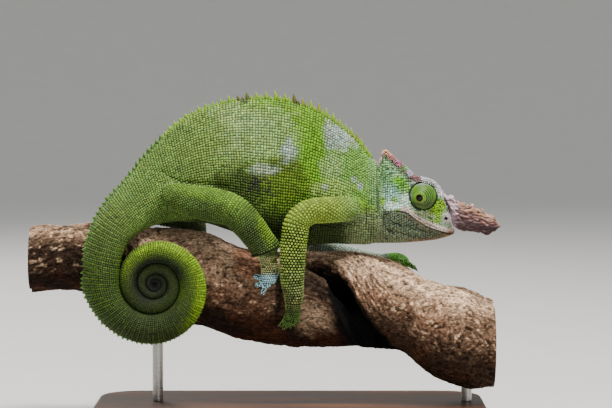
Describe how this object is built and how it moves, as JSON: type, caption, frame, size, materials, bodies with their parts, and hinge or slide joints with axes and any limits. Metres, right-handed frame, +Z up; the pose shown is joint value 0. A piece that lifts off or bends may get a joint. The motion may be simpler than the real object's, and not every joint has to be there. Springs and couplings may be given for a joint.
{
  "type": "fischers chameleon on a vine perch",
  "caption": "Life-size green chameleon with flattened snout horns and a coiled tail, gripping a cut length of twisted vine held on rods over a flat base.",
  "frame": {"origin": "centre of the underside of the stand's base", "axes": "+X towards the animal's head, -Y towards its right side, +Z up"},
  "size_m": [0.2113, 0.084, 0.1485],
  "materials": {
    "flank_skin": "satin, finely scaled",
    "limb_skin": "satin, finely scaled",
    "tail_skin": "satin, finely scaled",
    "head_skin": "satin, scaled",
    "turret_skin": "satin, finely scaled",
    "eyeball": "wet gloss",
    "horn_scale": "matte, plated",
    "vine_bark": "rough bark",
    "stand_wood": "satin",
    "stand_metal": "satin"
  },
  "bodies": {
    "root": {"eye_turret_left": "turret_skin", "eye_turret_right": "turret_skin", "eyeball_left": "eyeball", "eyeball_right": "eyeball", "foot_left": "limb_skin", "foot_right": "limb_skin", "forearm_left": "limb_skin", "forearm_right": "limb_skin", "hand_left": "limb_skin", "hand_right": "limb_skin", "head": "head_skin", "horn_left": "horn_scale", "horn_right": "horn_scale", "neck": "flank_skin", "perch_vine_back": "vine_bark", "perch_vine_front": "vine_bark", "shin_left": "limb_skin", "shin_right": "limb_skin", "stand_base": "stand_wood", "stand_rod_left": "stand_metal", "stand_rod_right": "stand_metal", "tail_coil": "tail_skin", "tail_core": "tail_skin", "tail_rear": "tail_skin", "tail_under": "tail_skin", "tail_upper": "tail_skin", "thigh_left": "limb_skin", "thigh_right": "limb_skin", "torso": "flank_skin", "upper_arm_left": "limb_skin", "upper_arm_right": "limb_skin"}
  },
  "joints": []
}
